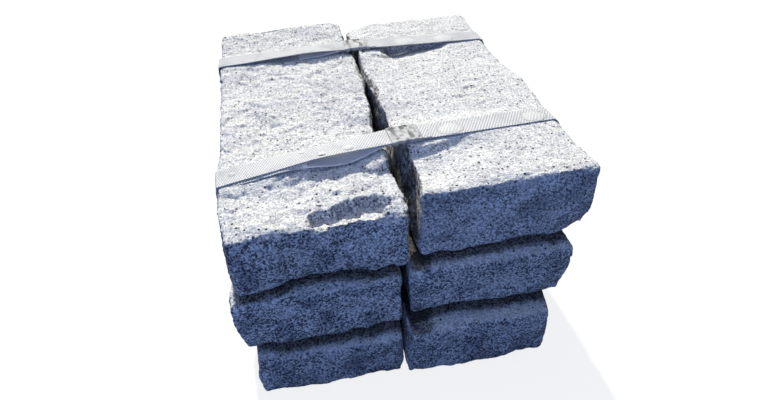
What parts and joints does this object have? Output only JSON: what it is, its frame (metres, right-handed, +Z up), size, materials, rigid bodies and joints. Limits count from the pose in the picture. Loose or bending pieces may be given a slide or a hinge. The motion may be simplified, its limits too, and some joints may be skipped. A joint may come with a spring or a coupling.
{
  "type": "strapped bundle of granite kerbs",
  "caption": "Stack of split granite kerbs with rough faces and broken arrises, laid in layers of a pair and held together by plastic straps with crimped steel seals.",
  "frame": {"origin": "middle of the bundle's bounding box at the floor that it rests on", "axes": "+Z up, +Y along the kerbs away from the pictured end, +X across the two columns to the right as seen from that end"},
  "size_m": [0.4597, 0.5698, 0.2885],
  "materials": {
    "granite": "split light grey granite with dark mica specks, rough and matte",
    "strap_plastic": "white embossed polyester strapping",
    "seal_steel": "dull galvanised sheet with dirt and a trace of rust"
  },
  "bodies": {
    "root": {"kerb_bottom_left": "granite", "kerb_bottom_right": "granite", "kerb_middle_left": "granite", "kerb_middle_right": "granite", "kerb_top_left": "granite", "kerb_top_right": "granite", "strap_front": "strap_plastic", "strap_rear": "strap_plastic", "seal_front": "seal_steel", "seal_rear": "seal_steel"}
  },
  "joints": []
}
